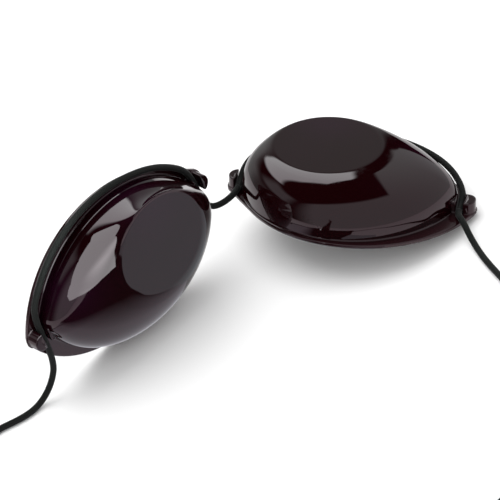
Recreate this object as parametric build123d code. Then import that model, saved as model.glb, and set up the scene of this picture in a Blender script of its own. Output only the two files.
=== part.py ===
from build123d import *
import math
import os

os.makedirs("parts", exist_ok=True)

# All sizes are in millimetres and degrees, with +Z up from the surface that the goggles lie on.
# Each cup is made in its own frame: X runs from the nose side to the temple side, Y towards the
# brow and Z out of the window. Its origin is under the middle of the window, on the rim's underside.

# The domed wall of a cup, at the level of the rim.
DOME_NOSE_REACH = 21.4
DOME_TEMPLE_REACH = 35.2
DOME_NOSE_RADIUS = 9.0
DOME_TEMPLE_RADIUS = 5.7
DOME_NOSE_DROP = 6.0
DOME_TEMPLE_DROP = 2.6

# The radii of the long brow and cheek arcs, as shares of the outline's whole reach.
DOME_BROW_SHARE = 0.5654
DOME_CHEEK_SHARE = 0.5265
RIM_BROW_SHARE = 0.538
RIM_CHEEK_SHARE = 0.541

# The rim, a thin plate that stands out round the foot of the wall.
RIM_NOSE_MARGIN = 0.5
RIM_NOSE_RADIUS = 10.9
RIM_TEMPLE_RADIUS = 3.9
RIM_NOSE_DROP = 5.9
RIM_THICKNESS = 1.2
RIM_EDGE_ROUNDING = 0.4

# The wall's height and curve. The curve shares are of its full height and of its full depth.
CUP_HEIGHT = 13.5
WINDOW_RADIUS = 14.8
WALL_THICKNESS = 1.4
CURVE_CUT_SHARE = 0.952
NOSE_CURVE_POWER = 3.35
TEMPLE_CURVE_POWER = 2.95
LEVEL_SHARES = (0.0, 0.22, 0.42, 0.58, 0.71, 0.81, 0.89, 0.95, 1.0)
ROUND_SHARE = 0.999
ARC_SHARE = 0.45
CAVITY_WINDOW_SHARE = 0.82

# The two cleats that hold the cord: a round post at the nose, a longer block at the temple.
CORD_DIAMETER = 1.7
SLOT_WIDTH = 2.0
CLEAT_HEIGHT = 4.4
CLEAT_TOP_ROUNDING = 0.35
WALL_TO_SLOT_GAP = 0.1
NOSE_CLEAT_OFFSET = 0.3
NOSE_CLEAT_DROP = 4.8
NOSE_CLEAT_DIAMETER = 5.6
NOSE_LOBE_MARGIN = 0.4
TEMPLE_CLEAT_OFFSET = 0.6
TEMPLE_CLEAT_DROP = 4.2
TEMPLE_CLEAT_LENGTH = 6.6
TEMPLE_CLEAT_WIDTH = 5.1
TEMPLE_CLEAT_CORNER = 2.2

# Where each cup lies: its position, then the turn about Z, the lean about Y and the roll about X.
LEFT_CUP_POSITION = (16.7, 22.0)
LEFT_CUP_TURN_ANGLE = -10.0
LEFT_CUP_LEAN_ANGLE = 11.0
LEFT_CUP_ROLL_ANGLE = -11.0
RIGHT_CUP_POSITION = (-30.3, -6.0)
RIGHT_CUP_TURN_ANGLE = -130.0
RIGHT_CUP_LEAN_ANGLE = 5.5
RIGHT_CUP_ROLL_ANGLE = -92.5

# The cord through each cup: in by the nose slot, round the brow side of the wall and out by the
# temple slot. It runs straight for a way past the middle of each slot. Each corner of its route
# between them has the angle that the wall faces there, the height above the cord in the slots and
# the clearance from the wall. On the left cup the cord has ridden up the wall.
CORD_TO_FLOOR_GAP = 0.1
CORD_TO_MOUTH_GAP = 0.1
LEFT_NOSE_STRAIGHT = -0.2
LEFT_TEMPLE_STRAIGHT = 0.3
LEFT_CUP_CORD_ROUTE = (
    (158.0, 2.75, 1.0),
    (146.0, 5.25, 0.85),
    (125.0, 6.15, 0.85),
    (103.0, 6.45, 0.85),
    (81.0, 6.35, 0.85),
    (59.5, 6.15, 0.85),
    (40.5, 5.65, 1.15),
    (13.0, 2.75, 0.9),
)
RIGHT_NOSE_STRAIGHT = 3.2
RIGHT_TEMPLE_STRAIGHT = 6.4
RIGHT_CUP_CORD_ROUTE = (
    (141.0, 0.1, 1.9),
    (123.0, 0.0, 2.1),
    (100.5, 0.0, 2.5),
    (80.5, 0.0, 3.0),
    (61.0, 0.0, 3.1),
    (43.0, 0.0, 2.6),
)

# The free cord, from slot to slot between the cups and from each temple slot to the knot. It goes
# straight on out of each slot for a little way before it bends. The bridge hangs from the middle
# of its leads. A strap's steps are measured from its lead, its points from the middle of the model,
# and both give the height above the surface.
BRIDGE_RIGHT_LEAD = 4.6
BRIDGE_LEFT_LEAD = 4.2
BRIDGE_SAG = (-1.55, -0.61, -2.39)
LEFT_STRAP_LEAD = 1.6
LEFT_STRAP_STEPS = (
    (1.5, -3.5, 4.8),
    (3.7, -8.5, 0.9),
    (7.5, -16.8, 0.9),
)
LEFT_STRAP_POINTS = (
    (64.4, -18.6, 0.9),
    (66.6, -33.0, 0.9),
    (66.2, -50.0, 0.9),
    (67.8, -66.0, 0.9),
    (67.7, -82.0, 0.9),
    (63.5, -98.6, 0.9),
    (42.0, -94.2, 0.9),
    (21.0, -91.6, 0.9),
)
RIGHT_STRAP_LEAD = 7.6
RIGHT_STRAP_STEPS = (
    (-2.4, -1.8, 4.6),
    (-6.1, -4.8, 0.9),
    (-9.9, -9.0, 0.9),
)
RIGHT_STRAP_POINTS = (
    (-71.2, -47.2, 0.9),
    (-70.0, -60.0, 0.9),
    (-66.3, -75.3, 0.9),
    (-45.0, -79.2, 0.9),
    (-22.0, -82.6, 0.9),
)

# The knot behind the wearer's head, a small barrel of pulled-tight cord.
KNOT_POSITION = (0.0, -87.4, 2.15)
KNOT_TURN_ANGLE = -11.0
KNOT_LENGTH = 4.6
KNOT_DIAMETER = 4.2
KNOT_ROUNDING = 1.1

# Sizes that follow from those above.
CORD_RADIUS = CORD_DIAMETER / 2
CORD_LEVEL = RIM_THICKNESS + CORD_TO_FLOOR_GAP + CORD_RADIUS
NOSE_SLOT_X = -(DOME_NOSE_REACH + WALL_TO_SLOT_GAP + SLOT_WIDTH / 2)
NOSE_CLEAT_X = NOSE_SLOT_X - NOSE_CLEAT_OFFSET
TEMPLE_SLOT_X = DOME_TEMPLE_REACH + WALL_TO_SLOT_GAP + SLOT_WIDTH / 2
TEMPLE_CLEAT_X = TEMPLE_SLOT_X + TEMPLE_CLEAT_OFFSET
RIM_NOSE_REACH = DOME_NOSE_REACH + RIM_NOSE_MARGIN
RIM_TEMPLE_REACH = TEMPLE_CLEAT_X + TEMPLE_CLEAT_LENGTH / 2
DOME_REACH = DOME_NOSE_REACH + DOME_TEMPLE_REACH
RIM_REACH = RIM_NOSE_REACH + RIM_TEMPLE_REACH


def four_arcs(nose, nose_radius, temple, temple_radius, brow_radius, cheek_radius):
    """Centre, radius, start angle and turn of four arcs that run into one another."""
    span = math.hypot(temple[0] - nose[0], temple[1] - nose[1])
    along = ((temple[0] - nose[0]) / span, (temple[1] - nose[1]) / span)
    across = (-along[1], along[0])
    centres = []
    for radius, side in ((brow_radius, -1), (cheek_radius, 1)):
        to_nose = radius - nose_radius
        to_temple = radius - temple_radius
        run = (to_nose**2 - to_temple**2 + span**2) / (2 * span)
        rise = math.sqrt(to_nose**2 - run**2) * side
        centres.append((nose[0] + along[0] * run + across[0] * rise, nose[1] + along[1] * run + across[1] * rise))
    brow, cheek = centres
    temple_to_brow = math.degrees(math.atan2(temple[1] - brow[1], temple[0] - brow[0]))
    brow_to_nose = math.degrees(math.atan2(nose[1] - brow[1], nose[0] - brow[0]))
    nose_to_cheek = math.degrees(math.atan2(nose[1] - cheek[1], nose[0] - cheek[0])) + 360
    cheek_to_temple = math.degrees(math.atan2(temple[1] - cheek[1], temple[0] - cheek[0])) + 360
    return (
        (brow, brow_radius, temple_to_brow, brow_to_nose - temple_to_brow),
        (nose, nose_radius, brow_to_nose, nose_to_cheek - brow_to_nose),
        (cheek, cheek_radius, nose_to_cheek, cheek_to_temple - nose_to_cheek),
        (temple, temple_radius, cheek_to_temple, temple_to_brow + 360 - cheek_to_temple),
    )


def outline_wire(arcs, level):
    """The arcs as one closed wire at one level."""
    return Wire([Pos(0, 0, level) * CenterArc(*arc).edge() for arc in arcs])


def depth_share(level_share, power):
    """How far the wall has curved in towards the window at this share of its height."""
    full = 1 - (1 - CURVE_CUT_SHARE**power) ** (1 / power)
    here = 1 - (1 - (level_share * CURVE_CUT_SHARE) ** power) ** (1 / power)
    return min(here / full, ROUND_SHARE)


def dome_arcs(level_share, inset, window_radius):
    """Outline of the domed wall at a share of its height, drawn in by an inset."""
    nose_share = depth_share(level_share, NOSE_CURVE_POWER)
    temple_share = depth_share(level_share, TEMPLE_CURVE_POWER)
    side_share = (nose_share + temple_share) / 2
    nose_x = DOME_NOSE_RADIUS - DOME_NOSE_REACH
    temple_x = DOME_TEMPLE_REACH - DOME_TEMPLE_RADIUS
    return four_arcs(
        (nose_x * (1 - nose_share), -DOME_NOSE_DROP * (1 - nose_share)),
        (DOME_NOSE_RADIUS - inset) * (1 - nose_share) + window_radius * nose_share,
        (temple_x * (1 - temple_share), -DOME_TEMPLE_DROP * (1 - temple_share)),
        (DOME_TEMPLE_RADIUS - inset) * (1 - temple_share) + window_radius * temple_share,
        (DOME_REACH * DOME_BROW_SHARE - inset) * (1 - side_share) + window_radius * side_share,
        (DOME_REACH * DOME_CHEEK_SHARE - inset) * (1 - side_share) + window_radius * side_share,
    )


def dome_solid(inset, window_radius, foot, top):
    """Solid dome between two levels, lofted through its sections."""
    sections = []
    for share in LEVEL_SHARES:
        sections.append(outline_wire(dome_arcs(share, inset, window_radius), foot + (top - foot) * share))
    return Solid.make_loft(sections)


def rim_plate():
    """The rim with the lobe that carries the nose cleat, its upper and lower edges rounded."""
    arcs = four_arcs(
        (RIM_NOSE_RADIUS - RIM_NOSE_REACH, -RIM_NOSE_DROP),
        RIM_NOSE_RADIUS,
        (RIM_TEMPLE_REACH - RIM_TEMPLE_RADIUS, -TEMPLE_CLEAT_DROP),
        RIM_TEMPLE_RADIUS,
        RIM_REACH * RIM_BROW_SHARE,
        RIM_REACH * RIM_CHEEK_SHARE,
    )
    lobe = CenterArc((NOSE_CLEAT_X, -NOSE_CLEAT_DROP), NOSE_CLEAT_DIAMETER / 2 + NOSE_LOBE_MARGIN, 0, 360)
    plate = extrude(make_hull(outline_wire(arcs, 0).edges() + lobe.edges()), RIM_THICKNESS)
    levels = plate.edges().group_by(Axis.Z)
    return fillet(levels[0] + levels[-1], RIM_EDGE_ROUNDING)


def cleat(plan, x, drop, slot_x):
    """Post of the given plan with an open slot across it for the cord."""
    post = extrude(plan, CLEAT_HEIGHT)
    post = fillet(post.edges().group_by(Axis.Z)[-1], CLEAT_TOP_ROUNDING)
    slot = Box(SLOT_WIDTH, TEMPLE_CLEAT_LENGTH * 2, CLEAT_HEIGHT, align=(Align.CENTER, Align.CENTER, Align.MIN))
    return Pos(x, -drop) * post - Pos(slot_x, -drop, RIM_THICKNESS) * slot


def eye_cup():
    """One cup: domed wall and window over an open hollow, rim and two cleats, all in one moulding."""
    foot = make_face(outline_wire(dome_arcs(LEVEL_SHARES[0], 0, WINDOW_RADIUS), 0))
    cup = extrude(foot, RIM_THICKNESS) + dome_solid(0, WINDOW_RADIUS, RIM_THICKNESS, CUP_HEIGHT)
    cup += rim_plate()
    nose_plan = Circle(NOSE_CLEAT_DIAMETER / 2)
    temple_plan = RectangleRounded(TEMPLE_CLEAT_LENGTH, TEMPLE_CLEAT_WIDTH, TEMPLE_CLEAT_CORNER)
    cup += cleat(nose_plan, NOSE_CLEAT_X, NOSE_CLEAT_DROP, NOSE_SLOT_X)
    cup += cleat(temple_plan, TEMPLE_CLEAT_X, TEMPLE_CLEAT_DROP, TEMPLE_SLOT_X)
    window_radius = WINDOW_RADIUS * CAVITY_WINDOW_SHARE
    return cup - dome_solid(WALL_THICKNESS, window_radius, 0, CUP_HEIGHT - WALL_THICKNESS)


def wall_point(angle, height, clearance):
    """Centre of a cord corner outside the wall, where the wall faces this way."""
    arcs = dome_arcs((CORD_LEVEL + height - RIM_THICKNESS) / (CUP_HEIGHT - RIM_THICKNESS), 0, WINDOW_RADIUS)
    facing = [arc for arc in arcs if (angle - arc[2]) % 360 <= arc[3]]
    centre, radius = facing[0][:2]
    away = radius + CORD_RADIUS + clearance
    turn = math.radians(angle)
    return (centre[0] + away * math.cos(turn), centre[1] + away * math.sin(turn), CORD_LEVEL + height)


def cup_cord_points(nose_straight, route, temple_straight):
    """Corners of the cord through a cup, in the cup's own frame."""
    nose_mouth = -(NOSE_CLEAT_DROP + NOSE_CLEAT_DIAMETER / 2 + CORD_TO_MOUTH_GAP)
    temple_mouth = -(TEMPLE_CLEAT_DROP + TEMPLE_CLEAT_WIDTH / 2 + CORD_TO_MOUTH_GAP)
    return (
        (NOSE_SLOT_X, nose_mouth, CORD_LEVEL),
        (NOSE_SLOT_X, nose_straight - NOSE_CLEAT_DROP, CORD_LEVEL),
        *[wall_point(*corner) for corner in route],
        (TEMPLE_SLOT_X, temple_straight - TEMPLE_CLEAT_DROP, CORD_LEVEL),
        (TEMPLE_SLOT_X, temple_mouth, CORD_LEVEL),
    )


def cord(points):
    """Round cord along straight runs joined by the widest arcs that they leave room for."""
    corners = [Vector(*point) for point in points]
    runs = [after - before for before, after in zip(corners, corners[1:])]
    radii = []
    for before, after in zip(runs, runs[1:]):
        half_turn = math.radians(before.get_angle(after)) / 2
        radii.append(ARC_SHARE * min(before.length, after.length) / math.tan(half_turn))
    print("bend radii", [round(radius, 1) for radius in radii])
    route = FilletPolyline(*corners, radius=radii)
    section = Plane(origin=route @ 0, z_dir=route % 0) * Circle(CORD_RADIUS)
    solid = sweep(section, path=route)
    print("volume over section times length", round(solid.volume / (section.area * route.length), 3))
    return solid


def resting_place(shape, position, turn, lean, roll):
    """Frame of a cup that lies turned like this with its lowest point on the surface."""
    frame = Pos(*position) * Rot(0, 0, turn) * Rot(0, lean, 0) * Rot(roll, 0, 0)
    height = -(frame * shape).bounding_box().min.Z
    print("resting height", round(height, 4))
    return Pos(0, 0, height) * frame


def slot_points(cup_place, mouth, side, lead):
    """A slot's mouth and the point straight out from it, where the cup lies."""
    across, along, up = mouth
    ends = ((across, along * side, up), (across, (along - lead) * side, up))
    return [tuple((cup_place * Pos(*end)).position) for end in ends]


def strap_points(mouth, steps, points, end):
    """Corners of a strap: its lead, the steps away from it, the points after them and its end."""
    lead = mouth[-1]
    stepped = [(lead[0] + across, lead[1] + along, height) for across, along, height in steps]
    return (*mouth, *stepped, *points, end)


def save(shape, name):
    """Write one named piece to its own file."""
    solid = shape.solid()
    solid.label = name
    export_step(solid, f"parts/{name}.step")
    box = solid.bounding_box()
    print(name, [round(value, 2) for value in (*box.min, *box.max)], "volume", round(solid.volume, 1))


cup = eye_cup()
mirrored_cup = mirror(cup, about=Plane.XZ)
left_place = resting_place(
    cup, LEFT_CUP_POSITION, LEFT_CUP_TURN_ANGLE, LEFT_CUP_LEAN_ANGLE, LEFT_CUP_ROLL_ANGLE
)
right_place = resting_place(
    mirrored_cup, RIGHT_CUP_POSITION, RIGHT_CUP_TURN_ANGLE, RIGHT_CUP_LEAN_ANGLE, RIGHT_CUP_ROLL_ANGLE
)
left_corners = cup_cord_points(LEFT_NOSE_STRAIGHT, LEFT_CUP_CORD_ROUTE, LEFT_TEMPLE_STRAIGHT)
right_corners = cup_cord_points(RIGHT_NOSE_STRAIGHT, RIGHT_CUP_CORD_ROUTE, RIGHT_TEMPLE_STRAIGHT)
save(left_place * cup, "left_eye_cup")
save(right_place * mirrored_cup, "right_eye_cup")
save(left_place * cord(left_corners), "left_cup_cord")
save(right_place * mirror(cord(right_corners), about=Plane.XZ), "right_cup_cord")

right_nose = slot_points(right_place, right_corners[0], -1, BRIDGE_RIGHT_LEAD)
left_nose = slot_points(left_place, left_corners[0], 1, BRIDGE_LEFT_LEAD)
left_temple = slot_points(left_place, left_corners[-1], 1, LEFT_STRAP_LEAD)
right_temple = slot_points(right_place, right_corners[-1], -1, RIGHT_STRAP_LEAD)
knot_place = Pos(*KNOT_POSITION) * Rot(0, 0, KNOT_TURN_ANGLE)
left_knot_end = tuple((knot_place * Pos(KNOT_LENGTH / 2, 0, 0)).position)
right_knot_end = tuple((knot_place * Pos(-KNOT_LENGTH / 2, 0, 0)).position)
bridge_middle = [(right + left) / 2 + sag for right, left, sag in zip(right_nose[-1], left_nose[-1], BRIDGE_SAG)]
for name, points in (
    ("bridge_cord", (*right_nose, bridge_middle, *reversed(left_nose))),
    ("head_strap_left", strap_points(left_temple, LEFT_STRAP_STEPS, LEFT_STRAP_POINTS, left_knot_end)),
    ("head_strap_right", strap_points(right_temple, RIGHT_STRAP_STEPS, RIGHT_STRAP_POINTS, right_knot_end)),
):
    print(name, "corners", [[round(value, 2) for value in point] for point in points])
    save(cord(points), name)
barrel = Rot(0, 90, 0) * Cylinder(KNOT_DIAMETER / 2, KNOT_LENGTH)
save(knot_place * fillet(barrel.edges(), KNOT_ROUNDING), "strap_knot")
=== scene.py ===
"""Tanning goggles: two dark tinted eye cups on one thin elastic cord, dressed over the fixed frame."""

import math

import bpy
import numpy as np
from bpy.props import FloatProperty, FloatVectorProperty, PointerProperty
from mathutils import Euler, Matrix


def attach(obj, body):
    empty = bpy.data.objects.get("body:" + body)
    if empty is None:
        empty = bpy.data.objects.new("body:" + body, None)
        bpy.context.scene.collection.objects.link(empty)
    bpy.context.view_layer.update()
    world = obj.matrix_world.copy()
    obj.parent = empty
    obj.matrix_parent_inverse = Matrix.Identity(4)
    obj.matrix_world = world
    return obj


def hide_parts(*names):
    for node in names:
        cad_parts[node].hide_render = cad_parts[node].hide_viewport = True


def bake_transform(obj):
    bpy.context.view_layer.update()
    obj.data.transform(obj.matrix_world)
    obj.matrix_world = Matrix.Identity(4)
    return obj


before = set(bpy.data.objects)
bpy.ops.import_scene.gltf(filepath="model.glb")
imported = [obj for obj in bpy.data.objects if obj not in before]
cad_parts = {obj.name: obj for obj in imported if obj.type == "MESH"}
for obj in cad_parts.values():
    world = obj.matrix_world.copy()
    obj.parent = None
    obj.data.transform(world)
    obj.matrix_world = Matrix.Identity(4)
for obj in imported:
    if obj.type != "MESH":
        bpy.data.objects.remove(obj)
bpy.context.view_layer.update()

bl_info = {
    "name": "Tanning goggles",
    "version": (1, 0, 0),
    "blender": (4, 5, 0),
    "location": "3D view > Sidebar > Goggles",
    "description": "Builds the eye cups, the cord and the studio of a pair of tanning goggles",
    "category": "Add Mesh",
}

MM = 0.001

# Where each cup lies: position in millimetres, then roll about X, lean about Y and turn about Z in
# degrees, and the side of the cup's own Y axis that the brow is on.
CUP_PLACES = {
    "left": ((16.7, 22.0, 7.6244), (-11.0, 11.0, -10.0), 1),
    "right": ((-30.3, -6.0, 28.5219), (-92.5, 5.5, -130.0), -1),
}

# The cord through each cup: how far it runs straight past the middle of each slot, and for each
# corner between them the angle in degrees that the wall faces there, the height above the cord in
# the slots and the clearance from the wall, in millimetres.
CUP_CORD_ROUTES = {
    "left": (
        -0.2,
        (
            (158.0, 2.75, 1.0),
            (146.0, 5.25, 0.85),
            (125.0, 6.15, 0.85),
            (103.0, 6.45, 0.85),
            (81.0, 6.35, 0.85),
            (59.5, 6.15, 0.85),
            (40.5, 5.65, 1.15),
            (13.0, 2.75, 0.9),
        ),
        0.3,
    ),
    "right": (
        3.2,
        (
            (141.0, 0.1, 1.9),
            (123.0, 0.0, 2.1),
            (100.5, 0.0, 2.5),
            (80.5, 0.0, 3.0),
            (61.0, 0.0, 3.1),
            (43.0, 0.0, 2.6),
        ),
        6.4,
    ),
}
NOSE_SLOT = (-22.5, -4.8, -7.7)
TEMPLE_SLOT = (36.3, -4.2, -6.85)
CORD_LEVEL = 2.15
SLOT_WIDTH = 2.0

# The cleats in plan: the round nose post, and the temple block's two halves, either side of the
# slot, with the corner radii at the slot and away from it.
NOSE_CLEAT = (-22.8, -4.8)
NOSE_CLEAT_RADIUS = 2.8
NOSE_LOBE_RADIUS = 3.2
TEMPLE_CLEAT_ENDS = (33.7, 40.2)
TEMPLE_CLEAT_WIDTHS = (4.6, 5.1)
TEMPLE_CLEAT_CORNERS = (0.7, 2.2)
SLOT_CORNER = 0.3
NOSE_INNER_CORNER = 0.2

# The free cord's routes in the row frame, in millimetres.
BRIDGE_POINTS = (
    (-14.04, 10.56, 22.93),
    (-13.91, 11.03, 18.35),
    (-11.6, 12.2, 14.9),
    (-6.19, 14.59, 16.22),
    (-5.62, 18.68, 15.43),
)
STRAP_POINTS = {
    "left": (
        (51.34, 9.48, 4.05),
        (51.12, 7.92, 4.35),
        (52.62, 4.42, 4.8),
        (54.82, -0.58, 0.9),
        (58.62, -8.88, 0.9),
        (64.4, -18.6, 0.9),
        (66.6, -33.0, 0.9),
        (66.2, -50.0, 0.9),
        (67.8, -66.0, 0.9),
        (67.7, -82.0, 0.9),
        (63.5, -98.6, 0.9),
        (42.0, -94.2, 0.9),
        (21.0, -91.6, 0.9),
        (2.26, -87.84, 2.15),
    ),
    "right": (
        (-51.68, -34.36, 18.14),
        (-51.47, -33.59, 10.58),
        (-53.87, -35.39, 4.6),
        (-57.57, -38.39, 0.9),
        (-61.37, -42.59, 0.9),
        (-71.2, -47.2, 0.9),
        (-70.0, -60.0, 0.9),
        (-66.3, -75.3, 0.9),
        (-45.0, -79.2, 0.9),
        (-22.0, -82.6, 0.9),
        (-2.26, -86.96, 2.15),
    ),
}

# The direction that each cord's round is counted from. None runs along its cord.
ROUND_STARTS = {"bridge": (1, -1, 0.2), "left": (0, 0, 1), "right": (0.8, -0.6, 0.05)}

# A point on each head strap, in millimetres.
STRAP_BEND_STARTS = {"left": (68.0, -70.0, 4.0), "right": (-60.0, -76.0, 4.0)}

# The knot: its place and turn, the cord wound round the strap, and each tail's way from its end of
# the winding, outwards, across and up.
KNOT_PLACE = ((0.0, -87.4, 2.15), -11.0)
KNOT_HALF_LENGTH = 2.1
KNOT_WRAPS = 3.6
KNOT_RADIUS = 1.25
KNOT_STEPS = 300
TAIL_STEPS = ((0.0, 0.0, 0.0), (0.9, -0.6, 0.1), (1.6, -2.6, -0.6), (2.2, -5.2, -1.2))
FLOOR_GAP = 0.02

ANGLE_STEPS = 320
CLEAT_STEPS = 96
CORD_SIDES = 20
CORD_RING_SHARE = 0.22

# Painted backlight: where the plastic leans to purple as if lit through from behind, in a cup's own
# plan: X and Y, spread and strength.
BACKLIGHT_PLACES = ((28.0, 6.0, 7.5, 0.8), (-2.0, 12.0, 9.0, 0.6))

# How far outside the wall's foot, and how far above the rim, the plastic gets the painted edge light,
# a redder glow that stands in for light coming through the rim and the cleats.
EDGE_LIGHT_REACH = 1.5
EDGE_LIGHT_RISE = 2.5


class CupSizes(bpy.types.PropertyGroup):
    height: FloatProperty(
        name="Height", description="Rim underside to window", default=13.5 * MM, unit="LENGTH"
    )
    window_radius: FloatProperty(
        name="Window radius", description="Round flat window", default=14.8 * MM, unit="LENGTH"
    )
    wall: FloatProperty(
        name="Wall", description="Thickness of the domed wall", default=1.4 * MM, unit="LENGTH"
    )
    rim_thickness: FloatProperty(
        name="Rim thickness", description="Rim plate", default=1.2 * MM, unit="LENGTH"
    )
    rim_rounding: FloatProperty(
        name="Rim rounding", description="Rounding of the rim's edges", default=0.42 * MM, unit="LENGTH"
    )
    foot_rounding: FloatProperty(
        name="Foot rounding", description="Hollow corner between wall and rim", default=0.5 * MM,
        unit="LENGTH",
    )
    window_rounding: FloatProperty(
        name="Window rounding", description="Rounding of the window's edge", default=0.85 * MM,
        unit="LENGTH",
    )
    cleat_height: FloatProperty(
        name="Cleat height", description="Rim underside to cleat top", default=4.4 * MM, unit="LENGTH"
    )
    cleat_rounding: FloatProperty(
        name="Cleat rounding", description="Rounding of the cleats' edges", default=0.35 * MM,
        unit="LENGTH",
    )
    tint: FloatVectorProperty(
        name="Tint", description="Deep colour of the plastic", subtype="COLOR",
        default=(0.0062, 0.0006, 0.0010),
    )
    # Painted light: the redder colour that stands in for light glowing through the rim and the cleats.
    edge_light_tint: FloatVectorProperty(
        name="Edge light tint", description="Painted glow of the rim and cleats", subtype="COLOR",
        default=(0.013, 0.0032, 0.0045),
    )
    # Painted light: the purple that stands in for light coming through the plastic from behind.
    backlight_tint: FloatVectorProperty(
        name="Backlight tint", description="Colour that it leans towards in places", subtype="COLOR",
        default=(0.0120, 0.0016, 0.0075),
    )
    polish: FloatProperty(
        name="Roughness", description="Roughness of the polished plastic", default=0.035, min=0.0, max=1.0
    )


class CordSizes(bpy.types.PropertyGroup):
    diameter: FloatProperty(
        name="Diameter", description="Thickness of the elastic", default=1.7 * MM, unit="LENGTH"
    )
    colour: FloatVectorProperty(
        name="Colour", description="Dyed cover of the elastic", subtype="COLOR",
        default=(0.0028, 0.0028, 0.0027),
    )
    braid_pitch: FloatProperty(
        name="Braid pitch", description="Braid stitches per diameter of length", default=1.6, min=0.1
    )


class StudioSizes(bpy.types.PropertyGroup):
    floor_colour: FloatVectorProperty(
        name="Floor", description="Colour of the floor", subtype="COLOR", default=(0.9, 0.9, 0.9)
    )
    backdrop_strength: FloatProperty(
        name="Backdrop", description="Brightness of the white surroundings", default=1.0
    )
    fill_strength: FloatProperty(
        name="Fill", description="Brightness of the light from all round", default=1.0
    )
    lamp_power: FloatProperty(
        name="Softbox", description="Power of the overhead softbox", default=6.0, unit="POWER"
    )
    lens: FloatProperty(
        name="Lens", description="Camera focal length", default=254.5, subtype="DISTANCE_CAMERA"
    )


# Shapes


def four_arc_outline(nose, nose_radius, temple, temple_radius, brow_radius, cheek_radius, angles):
    """Closed outline of four arcs that run into one another, as points at the given normal angles.

    The brow and the cheek arc each touch the nose and the temple circle from outside, so their
    centres lie where their distances to the two circle centres are the differences of the radii.
    A point is the centre of its arc plus the arc's radius along its normal angle.
    """
    nose, temple = np.asarray(nose, float), np.asarray(temple, float)
    span = max(np.hypot(*(temple - nose)), 1e-9)
    along = (temple - nose) / span
    across = np.array([-along[1], along[0]])
    centres = []
    for radius, side in ((brow_radius, -1), (cheek_radius, 1)):
        to_nose, to_temple = radius - nose_radius, radius - temple_radius
        run = (to_nose**2 - to_temple**2 + span**2) / (2 * span)
        centres.append(nose + along * run + across * side * math.sqrt(max(to_nose**2 - run**2, 0)))
    brow, cheek = centres

    def direction(end, start):
        return math.atan2(end[1] - start[1], end[0] - start[0])

    last = direction(temple, cheek)
    turned = (angles - last) % (2 * math.pi) + last
    bounds = (direction(temple, brow), direction(nose, brow), direction(nose, cheek) % (2 * math.pi))
    arc = np.searchsorted(bounds, turned)
    centre = np.array([temple, brow, nose, cheek])[arc]
    radius = np.array([temple_radius, brow_radius, nose_radius, cheek_radius])[arc]
    return centre + radius[:, None] * np.stack([np.cos(turned), np.sin(turned)], 1)


DOME = {
    "nose": (-12.4, -6.0), "nose_r": 9.0, "temple": (29.5, -2.6), "temple_r": 5.7,
    "brow_r": 32.0, "cheek_r": 29.8,
}
RIM = {
    "nose": (-11.0, -5.9), "nose_r": 10.9, "temple": (36.3, -4.2), "temple_r": 3.9,
    "brow_r": 33.4, "cheek_r": 33.6,
}
CURVE_CUT_SHARE = 0.952
NOSE_CURVE_POWER = 3.35
TEMPLE_CURVE_POWER = 2.95
HOLLOW_WINDOW_SHARE = 0.82


def depth_share(level, power):
    """Superellipse quarter cut off below its top: 1 minus the power-th root of 1 minus level to
    the power, divided by its own value at the cut, so that it runs from 0 at the foot to 1."""
    full = 1 - (1 - CURVE_CUT_SHARE**power) ** (1 / power)
    return min((1 - (1 - (level * CURVE_CUT_SHARE) ** power) ** (1 / power)) / full, 0.9995)


def dome_ring(level, inset, window_radius, foot, top, angles):
    """One level of the domed wall: the foot outline, drawn in by the inset, shrinks towards the
    window circle by the depth share of the level."""
    nose, temple = depth_share(level, NOSE_CURVE_POWER), depth_share(level, TEMPLE_CURVE_POWER)
    side = (nose + temple) / 2
    plan = four_arc_outline(
        np.array(DOME["nose"]) * (1 - nose),
        (DOME["nose_r"] - inset) * (1 - nose) + window_radius * nose,
        np.array(DOME["temple"]) * (1 - temple),
        (DOME["temple_r"] - inset) * (1 - temple) + window_radius * temple,
        (DOME["brow_r"] - inset) * (1 - side) + window_radius * side,
        (DOME["cheek_r"] - inset) * (1 - side) + window_radius * side,
        angles,
    )
    return raised(plan, foot + (top - foot) * level)


def rim_ring(inset, height, angles):
    """The rim's outline, drawn in by the inset: the wider of the four-arc plan and the nose
    lobe's circle in each direction, which leaves them joined by their common tangents."""
    plan = four_arc_outline(
        RIM["nose"], RIM["nose_r"] - inset, RIM["temple"], RIM["temple_r"] - inset,
        RIM["brow_r"] - inset, RIM["cheek_r"] - inset, angles,
    )
    outward = np.stack([np.cos(angles), np.sin(angles)], 1)
    lobe = np.array(NOSE_CLEAT) + (NOSE_LOBE_RADIUS - inset) * outward
    wider = ((lobe - plan) * outward).sum(1) > 0
    return raised(np.where(wider[:, None], lobe, plan), height)


def raised(plan, height):
    """Plan points at one height."""
    return np.column_stack([plan, np.full(len(plan), float(height))])


def rounded(first, corner, last, steps):
    """Rings between two rings that round the corner ring off: the quadratic curve with the
    weights (1-t) squared, 2t(1-t) and t squared."""
    t = np.linspace(0, 1, steps)[:, None, None]
    return (1 - t) ** 2 * first + 2 * t * (1 - t) * corner + t**2 * last


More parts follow.
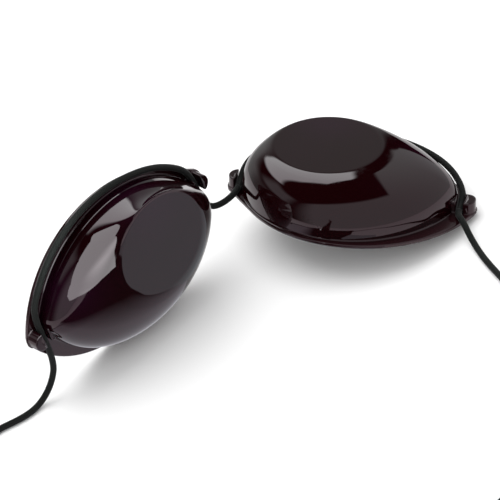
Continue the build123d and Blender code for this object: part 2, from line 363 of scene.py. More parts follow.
def cup_surface(sizes, angles):
    """The whole skin of a cup as rings over the angles, from the middle of the window out over the
    wall, round the rim and back up the hollow to its ceiling."""
    height, window = sizes.height / MM, sizes.window_radius / MM
    rim, wall = sizes.rim_thickness / MM, sizes.wall / MM
    foot, edge, soft = sizes.foot_rounding / MM, sizes.rim_rounding / MM, sizes.window_rounding / MM
    outward = raised(np.stack([np.cos(angles), np.sin(angles)], 1), 0)

    def dome(level):
        return dome_ring(level, 0, window, rim, height, angles)

    def hollow(level):
        return dome_ring(level, wall, window * HOLLOW_WINDOW_SHARE, 0, height - wall, angles)

    def disc(radius, level):
        return outward * radius + np.array([0, 0, level])

    rings = [disc(window * share, height)[None] for share in (0.3, 0.6, 0.85)]
    rings += [disc(window - soft * share, height)[None] for share in (1.6, 1.15)]
    last_wall_level = 0.965
    rings.append(rounded(disc(window - soft, height), dome(1.0), dome(last_wall_level), 9))
    first_wall_level = foot / (height - rim)
    lowest = math.asin(first_wall_level / last_wall_level)
    levels = last_wall_level * np.sin(np.linspace(math.pi / 2, lowest, 60))
    rings.append(np.array([dome(level) for level in levels[1:]]))
    base = dome(0.0)
    rings.append(rounded(dome(first_wall_level), base, base + outward * foot, 6)[1:])
    outer = rim_ring(edge, rim, angles)
    shelf = base + outward * foot
    rings.append(np.array([shelf + (outer - shelf) * share for share in (0.33, 0.67, 0.97)]))
    rings.append(rounded(outer, rim_ring(0, rim, angles), rim_ring(0, rim - edge, angles), 6))
    rings.append(rounded(rim_ring(0, edge, angles), rim_ring(0, 0, angles), rim_ring(edge, 0, angles), 6))
    mouth = hollow(0.0)
    mouth_edge = 0.35
    lip = mouth + outward * mouth_edge
    outer = rim_ring(edge, 0, angles)
    rings.append(np.array([outer + (lip - outer) * share for share in (0.03, 0.5)]))
    first_hollow_level = mouth_edge / (height - wall)
    rings.append(rounded(lip, mouth, hollow(first_hollow_level), 5))
    levels = np.sin(np.linspace(math.asin(first_hollow_level), math.pi / 2, 30))
    rings.append(np.array([hollow(level) for level in levels[1:]]))
    ceiling = window * HOLLOW_WINDOW_SHARE
    rings += [disc(ceiling * share, height - wall)[None] for share in (0.7, 0.3)]
    return np.concatenate(rings)


def round_lump(centre, radius, corner, side, slot_edge, angles):
    """Plan of a round post cut off at a slot: the post's circle, or the corner where the cut meets
    it, plus the corner radius along the normal."""
    outward = np.stack([np.cos(angles), np.sin(angles)], 1)
    core = np.asarray(centre) + (radius - corner) * outward
    cut = slot_edge + side * corner
    half = math.sqrt((radius - corner) ** 2 - (cut - centre[0]) ** 2)
    tip = np.column_stack([np.full(len(angles), cut), centre[1] + half * np.where(outward[:, 1] >= 0, 1, -1)])
    outside = (core[:, 0] - cut) * side < 0
    return np.where(outside[:, None], tip, core) + corner * outward


def block_lump(low, high, width, middle, low_corner, high_corner, angles):
    """Plan of a block with its own corner radius at each end: in each quarter of the normal
    angles, the centre of that corner plus its radius along the normal."""
    outward = np.stack([np.cos(angles), np.sin(angles)], 1)
    at_high = outward[:, 0] >= 0
    radius = np.where(at_high, high_corner, low_corner)
    x = np.where(at_high, high - high_corner, low + low_corner)
    y = middle + (width / 2 - radius) * np.where(outward[:, 1] >= 0, 1, -1)
    return np.column_stack([x, y]) + radius[:, None] * outward


def lump_surface(plan, sizes, angles):
    """A cleat's lump as rings: its plan flares at the foot, stands straight and rounds over at the
    top, where a quarter circle draws it in by the rounding."""
    top, rim, soft = sizes.cleat_height / MM, sizes.rim_thickness / MM, sizes.cleat_rounding / MM
    outward = np.stack([np.cos(angles), np.sin(angles)], 1)
    turn = np.linspace(0, math.pi / 2, 6)
    flare = [(soft * (1 - math.sin(t)), rim + soft * (1 - math.cos(t))) for t in turn]
    over = [(-soft * (1 - math.cos(t)), top - soft + soft * math.sin(t)) for t in turn]
    steps = [(soft, rim - soft)] + flare + over
    rings = [raised(plan + offset * outward, height) for offset, height in steps]
    middle = plan.mean(0)
    last = rings[-1]
    centre = np.array([*middle, top])
    rings += [centre + (last - centre) * share for share in (0.93, 0.5)]
    return np.array(rings[::-1])


def tube_surface(path, radius, sides, reference):
    """Round tube along a path: at each point the cross-section is the radius times cos(a) along
    one side direction plus sin(a) along the other, both square to the path. The first side
    direction is the reference vector made square to the path."""
    run = np.gradient(path, axis=0)
    run /= np.linalg.norm(run, axis=1)[:, None]
    side = np.asarray(reference, float) - run * (run @ np.asarray(reference, float))[:, None]
    side /= np.linalg.norm(side, axis=1)[:, None]
    other = np.cross(run, side)
    turn = np.linspace(0, 2 * math.pi, sides, endpoint=False)
    ring = np.cos(turn)[None, :, None] * side[:, None] + np.sin(turn)[None, :, None] * other[:, None]
    return path[:, None] + radius * ring


def cup_cord_corners(side, diameter, sizes):
    """Corners of the cord's route through a cup, in the cup's own frame: straight through each slot,
    and between them outside the wall, by the cord's radius and the clearance along the normal."""
    nose_straight, route, temple_straight = CUP_CORD_ROUTES[side]
    height, window, rim = sizes.height / MM, sizes.window_radius / MM, sizes.rim_thickness / MM
    corners = [
        (NOSE_SLOT[0], NOSE_SLOT[2], CORD_LEVEL),
        (NOSE_SLOT[0], NOSE_SLOT[1] + nose_straight, CORD_LEVEL),
    ]
    for facing, rise, clearance in route:
        angle = np.array([math.radians(facing)])
        level = (CORD_LEVEL + rise - rim) / (height - rim)
        wall = dome_ring(level, 0, window, rim, height, angle)[0]
        away = diameter / 2 + clearance
        corners.append(tuple(wall + away * np.array([math.cos(angle[0]), math.sin(angle[0]), 0])))
    corners += [
        (TEMPLE_SLOT[0], TEMPLE_SLOT[1] + temple_straight, CORD_LEVEL),
        (TEMPLE_SLOT[0], TEMPLE_SLOT[2], CORD_LEVEL),
    ]
    return np.array(corners)


def rotation(turns):
    """Rotation matrix of a roll about X, a lean about Y and a turn about Z, in that order."""
    return np.array(Euler([math.radians(turn) for turn in turns], "XYZ").to_matrix())


def in_row_frame(points, side):
    """Points of a cup's own frame where that cup lies."""
    position, turns, brow = CUP_PLACES[side]
    return (points * [1, brow, 1]) @ rotation(turns).T + position


# Meshes


def grid_faces(rings, columns, first, flip):
    """Quads between neighbouring rings, closed round, and a fan to a pole at each end."""
    row, column = np.meshgrid(np.arange(rings - 1), np.arange(columns), indexing="ij")
    here, after = row * columns + column, row * columns + (column + 1) % columns
    quads = np.stack([here, here + columns, after + columns, after], -1).reshape(-1, 4)
    step = np.arange(columns)
    around = (step + 1) % columns
    start, end = rings * columns, rings * columns + 1
    base = (rings - 1) * columns
    fans = np.concatenate([
        np.stack([np.full(columns, start), step, around], -1),
        np.stack([np.full(columns, end), base + around, base + step], -1),
    ])
    if flip:
        quads, fans = quads[:, ::-1], fans[:, ::-1]
    return quads + first, fans + first


def add_mesh(name, surfaces, flip=False, uvs=None):
    """One mesh object, in metres in the row frame, from closed grid surfaces in millimetres."""
    points, quads, fans, first = [], [], [], 0
    for surface in surfaces:
        rings, columns, _ = surface.shape
        poles = np.array([surface[0].mean(0), surface[-1].mean(0)])
        points.append(np.concatenate([surface.reshape(-1, 3), poles]))
        some_quads, some_fans = grid_faces(rings, columns, first, flip)
        quads.append(some_quads)
        fans.append(some_fans)
        first += rings * columns + 2
    points, quads, fans = np.concatenate(points) * MM, np.concatenate(quads), np.concatenate(fans)
    corners = np.concatenate([quads.ravel(), fans.ravel()]).astype(np.int32)
    sizes = np.concatenate([np.full(len(quads), 4), np.full(len(fans), 3)])
    starts = np.concatenate([[0], np.cumsum(sizes)[:-1]]).astype(np.int32)
    mesh = bpy.data.meshes.new(name)
    mesh.vertices.add(len(points))
    mesh.vertices.foreach_set("co", points.astype(np.float32).ravel())
    mesh.loops.add(len(corners))
    mesh.loops.foreach_set("vertex_index", corners)
    mesh.polygons.add(len(sizes))
    mesh.polygons.foreach_set("loop_start", starts)
    mesh.polygons.foreach_set("use_smooth", np.ones(len(sizes), bool))
    mesh.update(calc_edges=True)
    mesh.validate()
    if uvs is not None:
        layer = mesh.uv_layers.new(name="Along")
        layer.data.foreach_set("uv", uvs(corners, quads, fans).astype(np.float32).ravel())
    obj = bpy.data.objects.new(name, mesh)
    bpy.context.scene.collection.objects.link(obj)
    return obj


def route_line(points, steps=24):
    """Points along the quadratic NURBS curve whose control points are the route's, read from
    Blender's own curve."""
    curve = bpy.data.curves.new("route", "CURVE")
    curve.dimensions = "3D"
    spline = curve.splines.new("NURBS")
    spline.points.add(len(points) - 1)
    spline.points.foreach_set("co", np.column_stack([np.array(points) * MM, np.ones(len(points))]).ravel())
    spline.order_u = 3
    spline.use_endpoint_u = True
    spline.resolution_u = steps
    obj = bpy.data.objects.new("route", curve)
    bpy.context.scene.collection.objects.link(obj)
    mesh = bpy.data.meshes.new_from_object(obj)
    line = np.empty(len(mesh.vertices) * 3, np.float32)
    mesh.vertices.foreach_get("co", line)
    bpy.data.objects.remove(obj)
    bpy.data.curves.remove(curve)
    bpy.data.meshes.remove(mesh)
    return line.reshape(-1, 3).astype(float) / MM


def even_line(line, spacing):
    """The same line with its points an even distance apart."""
    runs = np.linalg.norm(np.diff(line, axis=0), axis=1)
    keep = np.concatenate([[True], runs > 1e-6])
    line = line[keep]
    distance = np.concatenate([[0], np.cumsum(np.linalg.norm(np.diff(line, axis=0), axis=1))])
    wanted = np.linspace(0, distance[-1], max(int(distance[-1] / spacing), 4))
    return np.column_stack([np.interp(wanted, distance, line[:, axis]) for axis in range(3)])


def add_cord(name, line, diameter, reference):
    """Round elastic cord along a line. Its UV map is its length in diameters and its share of the
    way round."""
    sides = CORD_SIDES
    line = even_line(line, diameter * CORD_RING_SHARE)
    surface = tube_surface(line, diameter / 2, sides, reference)
    rings = len(line)
    spacing = np.linalg.norm(line[1] - line[0]) / diameter

    def along(corners, quads, fans):
        ring = np.minimum(corners // sides, rings - 1) * spacing
        column = corners % sides
        first = np.repeat(quads[:, :1], 4, axis=1).ravel()
        wraps = np.zeros(len(corners), bool)
        wraps[: len(first)] = (first % sides == sides - 1) & (column[: len(first)] == 0)
        return np.column_stack([ring, np.where(wraps, sides, column) / sides])

    return add_mesh(name, [surface], uvs=along), line


# Materials


class Value:
    """A shader socket that arithmetic works on: each operator adds its Math node."""

    def __init__(self, nodes, socket):
        self.nodes = nodes
        self.socket = socket

    def math(self, operation, *others):
        return self.nodes.add("ShaderNodeMath", {"operation": operation}, [self, *others])

    def __add__(self, other):
        return self.math("ADD", other)

    def __radd__(self, other):
        return self.math("ADD", other)

    def __sub__(self, other):
        return self.math("SUBTRACT", other)

    def __rsub__(self, other):
        return self.nodes.add("ShaderNodeMath", {"operation": "SUBTRACT"}, [other, self])

    def __mul__(self, other):
        return self.math("MULTIPLY", other)

    def __rmul__(self, other):
        return self.math("MULTIPLY", other)

    def __pow__(self, other):
        return self.math("POWER", other)

    def clamped(self):
        return self.nodes.add("ShaderNodeMath", {"operation": "ADD", "use_clamp": True}, [self, 0.0])


class Nodes:
    """A node tree under construction."""

    def __init__(self, owner):
        owner.use_nodes = True
        self.tree = owner.node_tree
        self.tree.nodes.clear()

    def add(self, kind, settings=None, inputs=(), output=0):
        """Add a node: its settings first, then the values or links of its sockets."""
        node = self.tree.nodes.new(kind)
        for name, value in (settings or {}).items():
            setattr(node, name, value)
        pairs = inputs.items() if isinstance(inputs, dict) else enumerate(inputs)
        for key, value in pairs:
            if isinstance(value, Value):
                self.tree.links.new(value.socket, node.inputs[key])
            elif value is not None:
                socket = node.inputs[key]
                if socket.type == "RGBA" and len(value) == 3:
                    value = (*value, 1.0)
                socket.default_value = value
        return Value(self, node.outputs[output]) if len(node.outputs) else node

    def mix_colour(self, share, first, second):
        """Colour between two colours by a share."""
        return self.add(
            "ShaderNodeMix", {"data_type": "RGBA"}, {0: share, 6: first, 7: second}, output=2
        )

    def noise(self, place, scale, detail=4.0, roughness=0.5):
        """Cloudy noise at a place, between 0 and 1."""
        return self.add(
            "ShaderNodeTexNoise", {},
            {"Vector": place, "Scale": scale, "Detail": detail, "Roughness": roughness},
        )

    def finish(self, surface):
        self.add("ShaderNodeOutputMaterial", {}, {"Surface": surface})


def new_material(name):
    """A material and its empty node tree."""
    material = bpy.data.materials.new(name)
    return material, Nodes(material)


def separate(nodes, vector):
    """The three parts of a vector socket."""
    parts = nodes.add("ShaderNodeSeparateXYZ", {}, {0: vector})
    return tuple(Value(nodes, parts.socket.node.outputs[axis]) for axis in range(3))


def smooth_step(nodes, value, low, high):
    """0 below the low end, 1 above the high end and a smooth S-curve between."""
    return nodes.add(
        "ShaderNodeMapRange", {"interpolation_type": "SMOOTHSTEP"},
        {"Value": value, "From Min": low, "From Max": high},
    )


def tinted_plastic(sizes, side):
    """Polished wine-tinted plastic: deep colour, with a painted redder glow on the rim and the cleats that
    stands in for light coming through the edges, and painted purple in places that stands in for light
    coming through from behind, with faint flow clouding, fine polishing marks and a few finger smudges
    that dull the gloss."""
    material, nodes = new_material(f"tinted plastic {side}")
    place = nodes.add("ShaderNodeTexCoord", output=3)
    # Painted edge light: the rim and the cleats glow redder, as if lit through their edges.
    painted_edge_light = nodes.add("ShaderNodeAttribute", {"attribute_name": "painted_edge_light"}, output=2)
    cloud = nodes.noise(place, 60.0, 2.0)
    # Painted backlight: where the plastic leans to purple as if lit through from behind.
    painted_backlight = nodes.add("ShaderNodeAttribute", {"attribute_name": "painted_backlight"}, output=2)
    smudge = nodes.noise(place, 190.0, 5.0, 0.6)
    fine = nodes.noise(place, 3800.0, 2.0)
    # Share of the painted edge light, with random flow clouding.
    share = (painted_edge_light * 0.85 + (cloud - 0.5) * 0.12).clamped()
    # Share of the painted backlight, with random flow clouding.
    lean = (painted_backlight + (cloud - 0.5) * 0.3).clamped()
    # The deep colour leans to the painted backlight's purple in places.
    deep = nodes.mix_colour(lean, tuple(sizes.tint), tuple(sizes.backlight_tint))
    # On the rim and the cleats the colour turns to the painted edge light's redder glow.
    colour = nodes.mix_colour(share, deep, tuple(sizes.edge_light_tint))
    rough = (sizes.polish + ((smudge - 0.52) * 0.35).clamped() + painted_edge_light * 0.05).clamped()
    bump = nodes.add(
        "ShaderNodeBump", {}, {"Strength": 0.03, "Distance": 0.00002, "Height": cloud * 0.6 + fine * 0.4}
    )
    shader = nodes.add("ShaderNodeBsdfPrincipled", {}, {
        "Base Color": colour, "Roughness": rough, "IOR": 1.49, "Normal": bump,
        "Specular Tint": (1.0, 0.80, 0.88, 1.0),
    })
    nodes.finish(shader)
    return material


def braided_elastic(sizes):
    """Matt black braid: crossed strands as a diamond bump along the cord, paler on their crowns than in
    the grooves between them, with a little lint."""
    material, nodes = new_material("braided elastic")
    along, around, _ = separate(nodes, nodes.add("ShaderNodeUVMap", {"uv_map": "Along"}))
    strands = 8.0
    first = (along * (sizes.braid_pitch * 2 * math.pi) + around * (strands * 2 * math.pi)).math("SINE")
    second = (along * (sizes.braid_pitch * 2 * math.pi) - around * (strands * 2 * math.pi)).math("SINE")
    crown = first.math("MAXIMUM", second) * 0.5 + 0.5
    solid = nodes.add("ShaderNodeTexCoord", output=3)
    lint = nodes.noise(solid, 900.0, 4.0)
    # Paler on the strands' crowns, darker in the grooves between them, with random lint.
    share = (crown ** 2.0 * 0.5 + (lint - 0.55) * 0.8).clamped()
    colour = nodes.mix_colour(share, tuple(sizes.colour), tuple(4.2 * c for c in sizes.colour))
    rough = 0.62 + lint * 0.2
    bump = nodes.add(
        "ShaderNodeBump", {}, {"Strength": 0.5, "Distance": 0.00008, "Height": crown + lint * 0.3}
    )
    shader = nodes.add("ShaderNodeBsdfPrincipled", {}, {
        "Base Color": colour, "Roughness": rough, "Specular IOR Level": 0.2, "Normal": bump,
        "Sheen Weight": 0.06, "Sheen Roughness": 0.4,
    })
    nodes.finish(shader)
    return material


# Pieces


def mark_plastic(obj, sizes, side):
    """Mark the painted edge light, a redder glow that stands in for light coming through the edges: 1 on
    the rim and the cleats a little outside the wall's foot, falling to 0 at the foot and upwards. Mark
    the painted backlight as well, where the plastic leans to purple as if lit through from behind: bell
    curves of the distance from each place."""
    count = len(obj.data.vertices)
    points = np.empty(count * 3, np.float32)
    obj.data.vertices.foreach_get("co", points)
    position, turns, brow = CUP_PLACES[side]
    local = ((points.reshape(-1, 3) / MM - position) @ rotation(turns)) * [1, brow, 1]
    angles = np.linspace(-math.pi, math.pi, ANGLE_STEPS, endpoint=False)
    foot = dome_ring(0.0, 0, sizes.window_radius / MM, 0, 1, angles)[:, :2]
    outward = np.stack([np.cos(angles), np.sin(angles)], 1)
    # Painted edge light: 1 a little outside the wall's foot and low down, falling to 0 at the foot and
    # upwards.
    beyond = ((local[:, None, :2] - foot[None]) * outward[None]).sum(2).max(1)
    low = np.clip(1 - (local[:, 2] - sizes.rim_thickness / MM) / EDGE_LIGHT_RISE, 0, 1)
    value = np.clip(beyond / EDGE_LIGHT_REACH, 0, 1) * low
    # Painted backlight: bell curves of the distance from each place.
    lean = np.zeros(count)
    for x, y, spread, strength in BACKLIGHT_PLACES:
        lean += strength * np.exp(-((local[:, 0] - x) ** 2 + (local[:, 1] - y) ** 2) / spread**2)
    for name, marks in (("painted_edge_light", value), ("painted_backlight", np.clip(lean, 0, 1))):
        attribute = obj.data.attributes.new(name, "FLOAT", "POINT")
        attribute.data.foreach_set("value", marks.astype(np.float32))


class GOGGLES_OT_eye_cups(bpy.types.Operator):
    """Add the two domed eye cups with their windows, rims and slotted cleats"""

    bl_idname = "goggles.eye_cups"
    bl_label = "Eye cups"

    def execute(self, context):
        sizes = context.scene.goggles_cup
        angles = np.linspace(-math.pi, math.pi, ANGLE_STEPS, endpoint=False)
        few = np.linspace(-math.pi, math.pi, CLEAT_STEPS, endpoint=False)
        skin = cup_surface(sizes, angles)
        half = SLOT_WIDTH / 2
        near, far = TEMPLE_CLEAT_ENDS
        near_width, far_width = TEMPLE_CLEAT_WIDTHS
        near_corner, far_corner = TEMPLE_CLEAT_CORNERS
        nose_x, (temple_x, temple_y, _) = NOSE_SLOT[0], TEMPLE_SLOT
        lumps = [
            round_lump(NOSE_CLEAT, NOSE_CLEAT_RADIUS, SLOT_CORNER, -1, nose_x - half, few),
            round_lump(NOSE_CLEAT, NOSE_CLEAT_RADIUS, NOSE_INNER_CORNER, 1, nose_x + half, few),
            block_lump(temple_x + half, far, far_width, temple_y, SLOT_CORNER, far_corner, few),
            block_lump(near, temple_x - half, near_width, temple_y, near_corner, SLOT_CORNER, few),
        ]
        surfaces = [skin] + [lump_surface(lump, sizes, few) for lump in lumps]
        for side in CUP_PLACES:
            placed = [in_row_frame(surface, side) for surface in surfaces]
            cup = add_mesh(f"{side}_cup_shell", placed, flip=CUP_PLACES[side][2] < 0)
            mark_plastic(cup, sizes, side)
            cup.data.materials.append(tinted_plastic(sizes, side))
            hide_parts(f"{side}_eye_cup")
            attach(cup, f"{side}_eye_cup")
        return {"FINISHED"}


class GOGGLES_OT_cup_cords(bpy.types.Operator):
    """Add the stretch of cord that each cup holds between its two cleats"""

    bl_idname = "goggles.cup_cords"
    bl_label = "Cord through the cups"

    def execute(self, context):
        sizes = context.scene.goggles_cord
        for side in CUP_CORD_ROUTES:
            corners = cup_cord_corners(side, sizes.diameter / MM, context.scene.goggles_cup)
            line = route_line(in_row_frame(corners, side))
            up = rotation(CUP_PLACES[side][1])[:, 2]
            cord, _ = add_cord(f"{side}_cup_elastic", line, sizes.diameter / MM, up)
            cord.data.materials.append(cord_material(context))
            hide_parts(f"{side}_cup_cord")
            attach(cord, f"{side}_eye_cup")
        return {"FINISHED"}


def cord_material(context):
    """The one elastic's material, made once."""
    return bpy.data.materials.get("braided elastic") or braided_elastic(context.scene.goggles_cord)


class GOGGLES_OT_free_cord(bpy.types.Operator):
    """Add the cord between the cups and the two halves of the head strap"""

    bl_idname = "goggles.free_cord"
    bl_label = "Free cord"

    def execute(self, context):
        sizes = context.scene.goggles_cord
        diameter = sizes.diameter / MM
        line = route_line(BRIDGE_POINTS)
        bridge, line = add_cord("bridge_elastic", line, diameter, ROUND_STARTS["bridge"])
        bridge.data.materials.append(cord_material(context))
        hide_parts("bridge_cord")
        start, end = np.array(BRIDGE_POINTS[2]) * MM, line[-1] * MM
        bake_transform(bridge)
        for side, points in STRAP_POINTS.items():
            line = route_line(points)
            strap, line = add_cord(f"{side}_head_strap", line, diameter, ROUND_STARTS[side])
            strap.data.materials.append(cord_material(context))
            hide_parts(f"head_strap_{side}")
            start = tuple(np.array(STRAP_BEND_STARTS[side]) * MM)
            tuple(line[0] * MM)
            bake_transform(strap)
            tuple(line[0] * MM)
            (line * MM).tolist()
        return {"FINISHED"}


class GOGGLES_OT_knot(bpy.types.Operator):
    """Add the pulled-tight knot that closes the strap, with its two short tails"""

    bl_idname = "goggles.knot"
    bl_label = "Knot"

    def execute(self, context):
        diameter = context.scene.goggles_cord.diameter / MM
        position, turn = KNOT_PLACE
        share = np.linspace(0, 1, KNOT_STEPS)
        angle = 2 * math.pi * KNOT_WRAPS * share
        across, up = KNOT_RADIUS * np.cos(angle), KNOT_RADIUS * np.sin(angle)
        coil = np.column_stack([KNOT_HALF_LENGTH * (2 * share - 1), across, up])
        tails = []
        for end, way in ((coil[0], -1), (coil[-1], 1)):
            tails.append(route_line(end + np.array(TAIL_STEPS) * [way, 1, 1]))
        path = np.concatenate([tails[0][::-1], coil[2:-2], tails[1]])
        path[:, 2] = np.maximum(path[:, 2], diameter / 2 + FLOOR_GAP - position[2])
        path = path @ rotation((0, 0, turn)).T + position
        along = (math.cos(math.radians(turn)), math.sin(math.radians(turn)), 0.02)
        knot, _ = add_cord("knot_elastic", path, diameter, along)
        knot.data.materials.append(cord_material(context))
        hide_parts("strap_knot")
        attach(knot, "elastic_cord")
        return {"FINISHED"}


# What stands by the right cup and shows in reflections only, in millimetres. A bright card and a
# black one beside it hang in front; each is a strip between two edges, from its top down.
CARD_LEFT_EDGE = (
    (-50.0, -14.0, 77.5), (-50.0, -22.0, 77.0), (-57.0, -42.0, 71.0), (-58.0, -63.0, 57.0),
    (-58.0, -66.0, 52.0), (-57.0, -70.0, 47.0), (-52.0, -75.0, 41.0),
)
CARD_RIGHT_EDGE = (
    (-37.4, -8.5, 77.3), (-16.6, -46.2, 68.2), (0.0, -48.4, 29.0), (-0.6, -39.5, 13.9), (-2.0, -37.4, 9.0),
    (-7.8, -51.1, 13.9), (-21.6, -66.4, 26.4),
)
DARK_RIGHT_EDGE = (
    (-30.0, -10.0, 77.3), (0.0, -38.0, 62.0), (13.0, -38.0, 30.0), (9.0, -33.5, 13.0), (8.0, -31.5, 4.0),
)
CARD_HOT_SPOT = (-11.0, -58.0, 38.0)
CARD_REACH = 0.0405
CARD_COLOUR = (0.86, 1.0, 0.95)
CARD_GLOW = 5.5
HOT_SPOT_GLOW = 4.5
HOT_SPOT_EDGES = (0.003, 0.026)
BLACK_CARD_GLOW = 0.02

# The table in front of the cup: the part that its wall shows, shaded towards one side, and the
# part that its window shows.
SHADE_CORNERS = (
    (9.5, -31.0, 0.1), (-2.0, -28.8, 0.1), (-8.0, -23.5, 0.1), (-14.0, -6.0, 0.1), (-70.0, -6.0, 0.1),
    (-70.0, -130.0, 0.1), (30.0, -130.0, 0.1), (22.0, -52.0, 0.1),
)
TABLE_CORNERS = (
    (9.5, -31.0, 0.1), (-2.0, -28.8, 0.1), (-8.0, -23.5, 0.1), (-14.0, -6.0, 0.1), (-8.0, 8.0, 0.1),
    (25.0, 8.0, 0.1), (40.0, -30.0, 0.1), (22.0, -52.0, 0.1),
)
TABLE_REACH = 0.2
TABLE_GLOW = 0.8

# The table's shade: how steeply it rises across X and Y, from which level, and its limits.
SHADE_SLOPES = (-850.0, 530.0)
SHADE_LEVEL = 7.3
SHADE_RISE = 0.06
SHADE_LOWEST = 0.03
SHADE_HIGHEST = 0.9

# Slanting planes that cut the pale surround off: the direction's X, Y and Z shares, and between
# which values the edge runs.
RIGHT_EDGE = ((2.31, 1.135, -0.76), 0.975, 1.02)
FRONT_EDGE = ((-0.695, 0.992, 1.245), 0.93, 1.05)
PALE_GLOW = 0.85
SOFTBOX_GLOW = 4.2
REFLECTED_COLOUR = (0.9, 1.0, 0.97)

FLOOR_REACH = 3.0
LAMP_PLACE = (-0.2, 0.25, 0.9)
LAMP_SIDE = 0.9
CAMERA_PLACE = (0.1937, -0.6824, 0.5894)
CAMERA_TURNS = (49.23, 14.336, 4.0)


def stage_object(name, points, faces, reach, colour, glow):
    """A card that only reflections see, from up to its reach away: it lights nothing and casts no
    shadow."""
    mesh = bpy.data.meshes.new(name)
    mesh.from_pydata([tuple(float(value) * MM for value in point) for point in points], [], faces)
    card = bpy.data.objects.new(name, mesh)
    bpy.context.scene.collection.objects.link(card)
    material, nodes = new_material(name)
    path = nodes.add("ShaderNodeLightPath")
    glossy = Value(nodes, path.socket.node.outputs["Is Glossy Ray"])
    near = Value(nodes, path.socket.node.outputs["Ray Length"]).math("LESS_THAN", reach)
    glowing = nodes.add("ShaderNodeEmission", {}, {"Color": colour, "Strength": glow(nodes)})
    clear = nodes.add("ShaderNodeBsdfTransparent")
    nodes.finish(nodes.add("ShaderNodeMixShader", {}, {0: glossy * near, 1: clear, 2: glowing}))
    mesh.materials.append(material)
    card.visible_camera = card.visible_diffuse = card.visible_shadow = False


def strip_faces(rows):
    """Quads of a strip whose points come in pairs, one pair a row."""
    return [(2 * row, 2 * row + 1, 2 * row + 3, 2 * row + 2) for row in range(rows - 1)]


def card_glow(nodes):
    """Brightness of the card: an even sheet with a brighter, soft-edged spot."""
    place = nodes.add("ShaderNodeTexCoord", output=3)
    spot = tuple(MM * value for value in CARD_HOT_SPOT)
    away = nodes.add("ShaderNodeVectorMath", {"operation": "DISTANCE"}, [place, spot], output=1)
    return CARD_GLOW + (1 - smooth_step(nodes, away, *HOT_SPOT_EDGES)) * HOT_SPOT_GLOW


def black_glow(nodes):
    """Brightness of the black card, the same all over."""
    return BLACK_CARD_GLOW


def table_glow(nodes):
    """Brightness of the table that the window shows, the same all over."""
    return TABLE_GLOW


def shade_glow(nodes):
    """Brightness of the shaded table: next to nothing along the card, rising away from it."""
    x, y, _ = separate(nodes, nodes.add("ShaderNodeTexCoord", output=3))
    rise = (y * SHADE_SLOPES[1] + x * SHADE_SLOPES[0] + SHADE_LEVEL) * SHADE_RISE
    return rise.math("MAXIMUM", 0.0).math("MINIMUM", SHADE_HIGHEST) + SHADE_LOWEST


def edge_step(nodes, parts, edge):
    """Smooth step across a slanting plane: each part of the direction times its share, added up."""
    shares, low, high = edge
    x, y, z = (part * share for part, share in zip(parts, shares))
    return smooth_step(nodes, x + y + z, low, high)


def studio_glow(nodes):
    """Brightness of the studio in each direction, as the polished cups show it: a pale surround in
    front and at the right, each cut off by a slanting plane, grey low down behind, dim at the left
    with a brighter band above, dark overhead, and one long softbox high up behind. The turn and
    the rise are the direction's azimuth and elevation in degrees. Gives the softbox's part apart."""
    x, y, z = separate(nodes, nodes.add("ShaderNodeTexCoord"))
    turn = y.math("ARCTAN2", x) * math.degrees(1)
    rise = z.math("ARCSINE") * math.degrees(1)
    at_right = edge_step(nodes, (x, y, z), RIGHT_EDGE)
    in_front = 1 - edge_step(nodes, (x, y, z), FRONT_EDGE)
    corner = (
        (1 - smooth_step(nodes, turn - rise * 0.5, 69.0, 70.0))
        * (1 - smooth_step(nodes, turn + rise * 0.42, 88.3, 89.4))
    )
    front_left = smooth_step(nodes, turn, -150.0, -120.0)
    pale = at_right.math("MAXIMUM", in_front * front_left) * corner * PALE_GLOW
    low = 1 - smooth_step(nodes, rise, 20.0, 36.0)
    behind = low * (
        smooth_step(nodes, turn, 81.0, 83.0) * 0.36 + smooth_step(nodes, turn, 94.0, 108.0) * 0.5
    )
    at_left = (
        smooth_step(nodes, turn, 140.0, 165.0) + 1 - smooth_step(nodes, turn, -165.0, -145.0)
    ).clamped()
    high_left = smooth_step(nodes, rise, 30.0, 38.0) * (1 - smooth_step(nodes, rise, 52.0, 60.0))
    left = low * 0.28 + high_left * 0.75
    softbox = (
        smooth_step(nodes, turn + rise * 0.57, 98.0, 99.5)
        * smooth_step(nodes, turn - rise * 0.33, 61.0, 62.2)
        * (1 - smooth_step(nodes, turn - rise * 1.2, 73.0, 80.0))
        * smooth_step(nodes, rise, 30.0, 33.0) * (1 - smooth_step(nodes, rise - turn * 0.35, 24.0, 27.0))
        * (1 - smooth_step(nodes, rise, 57.0, 62.0))
    )
    return (pale + behind) * (1 - at_left) + left * at_left, softbox * SOFTBOX_GLOW


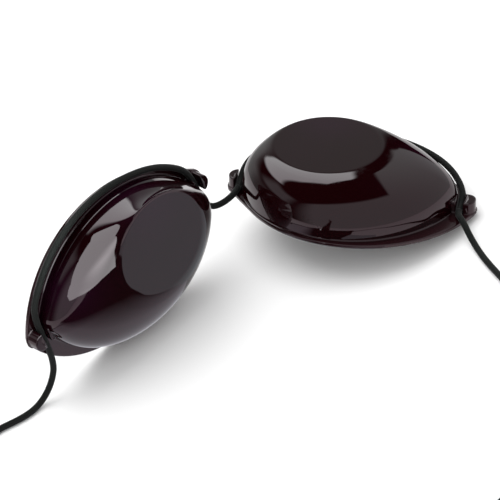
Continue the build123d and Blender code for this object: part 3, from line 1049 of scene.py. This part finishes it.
class GOGGLES_OT_studio(bpy.types.Operator):
    """Add the floor, the soft light and the camera"""

    bl_idname = "goggles.studio"
    bl_label = "Studio"

    def execute(self, context):
        sizes = context.scene.goggles_studio
        scene = context.scene
        mesh = bpy.data.meshes.new("floor")
        corners = [(FLOOR_REACH * x, FLOOR_REACH * y, 0) for x, y in ((-1, -1), (1, -1), (1, 1), (-1, 1))]
        mesh.from_pydata(corners, [], [(0, 1, 2, 3)])
        floor = bpy.data.objects.new("floor", mesh)
        scene.collection.objects.link(floor)
        material, nodes = new_material("floor")
        diffuse = nodes.add("ShaderNodeBsdfDiffuse", {}, {"Color": tuple(sizes.floor_colour)})
        nodes.finish(diffuse)
        mesh.materials.append(material)

        for name, left, right, glow in (
            ("bright_card", CARD_LEFT_EDGE, CARD_RIGHT_EDGE, card_glow),
            ("black_card", CARD_RIGHT_EDGE, DARK_RIGHT_EDGE, black_glow),
        ):
            edges = [point for pair in zip(left, right) for point in pair]
            rows = min(len(left), len(right))
            stage_object(name, edges, strip_faces(rows), CARD_REACH, CARD_COLOUR, glow)
        for name, corners, colour, glow in (
            ("table_shade", SHADE_CORNERS, (0.93, 0.93, 1.0), shade_glow),
            ("table_front", TABLE_CORNERS, (0.86, 0.96, 1.0), table_glow),
        ):
            stage_object(name, corners, [tuple(range(len(corners)))], TABLE_REACH, colour, glow)

        world = bpy.data.worlds.new("studio")
        scene.world = world
        nodes = Nodes(world)
        path = nodes.add("ShaderNodeLightPath")
        reflected = (Value(nodes, path.socket.node.outputs["Is Glossy Ray"])
                     + Value(nodes, path.socket.node.outputs["Is Transmission Ray"])).clamped()
        plain_light = path * sizes.backdrop_strength + (1 - path) * sizes.fill_strength
        surround, softbox_glow = studio_glow(nodes)
        strength = plain_light * (1 - reflected) + (surround + softbox_glow) * reflected
        cool = nodes.mix_colour(reflected, (1.0, 1.0, 1.0), REFLECTED_COLOUR)
        light = nodes.add("ShaderNodeBackground", {}, {"Color": cool, "Strength": strength})
        nodes.add("ShaderNodeOutputWorld", {}, {"Surface": light})

        lamp = bpy.data.lights.new("overhead softbox", "AREA")
        lamp.shape, lamp.size, lamp.size_y = "RECTANGLE", LAMP_SIDE, LAMP_SIDE
        lamp.energy = sizes.lamp_power
        softbox = bpy.data.objects.new("overhead softbox", lamp)
        softbox.location = LAMP_PLACE
        softbox.rotation_euler = (-softbox.location).to_track_quat("-Z", "Y").to_euler()
        softbox.visible_glossy = False
        scene.collection.objects.link(softbox)

        data = bpy.data.cameras.new("camera")
        data.lens = sizes.lens
        data.clip_start, data.clip_end = 0.01, 10.0
        camera = bpy.data.objects.new("camera", data)
        turned = Matrix(rotation(CAMERA_TURNS).tolist()).to_4x4()
        camera.matrix_world = Matrix.Translation(CAMERA_PLACE) @ turned
        scene.collection.objects.link(camera)
        scene.camera = camera
        scene.view_settings.view_transform = "Standard"
        return {"FINISHED"}


class GOGGLES_PT_sidebar(bpy.types.Panel):
    """Lists the goggles' pieces and their sizes"""

    bl_idname = "GOGGLES_PT_sidebar"
    bl_label = "Tanning goggles"
    bl_space_type = "VIEW_3D"
    bl_region_type = "UI"
    bl_category = "Goggles"

    def draw(self, context):
        layout = self.layout
        for group in (context.scene.goggles_cup, context.scene.goggles_cord, context.scene.goggles_studio):
            box = layout.box()
            for name in group.bl_rna.properties.keys():
                if name not in {"rna_type", "name"}:
                    box.prop(group, name)
        for operator in OPERATORS:
            layout.operator(operator.bl_idname)


OPERATORS = (
    GOGGLES_OT_eye_cups,
    GOGGLES_OT_cup_cords,
    GOGGLES_OT_free_cord,
    GOGGLES_OT_knot,
    GOGGLES_OT_studio,
)
CLASSES = (CupSizes, CordSizes, StudioSizes, *OPERATORS, GOGGLES_PT_sidebar)


def register():
    for cls in CLASSES:
        bpy.utils.register_class(cls)
    bpy.types.Scene.goggles_cup = PointerProperty(type=CupSizes)
    bpy.types.Scene.goggles_cord = PointerProperty(type=CordSizes)
    bpy.types.Scene.goggles_studio = PointerProperty(type=StudioSizes)


def unregister():
    del bpy.types.Scene.goggles_cup, bpy.types.Scene.goggles_cord, bpy.types.Scene.goggles_studio
    for cls in reversed(CLASSES):
        bpy.utils.unregister_class(cls)


def main():
    register()
    bpy.ops.goggles.eye_cups()
    bpy.ops.goggles.cup_cords()
    bpy.ops.goggles.free_cord()
    bpy.ops.goggles.knot()
    bpy.ops.goggles.studio()


if __name__ == "__main__":
    main()
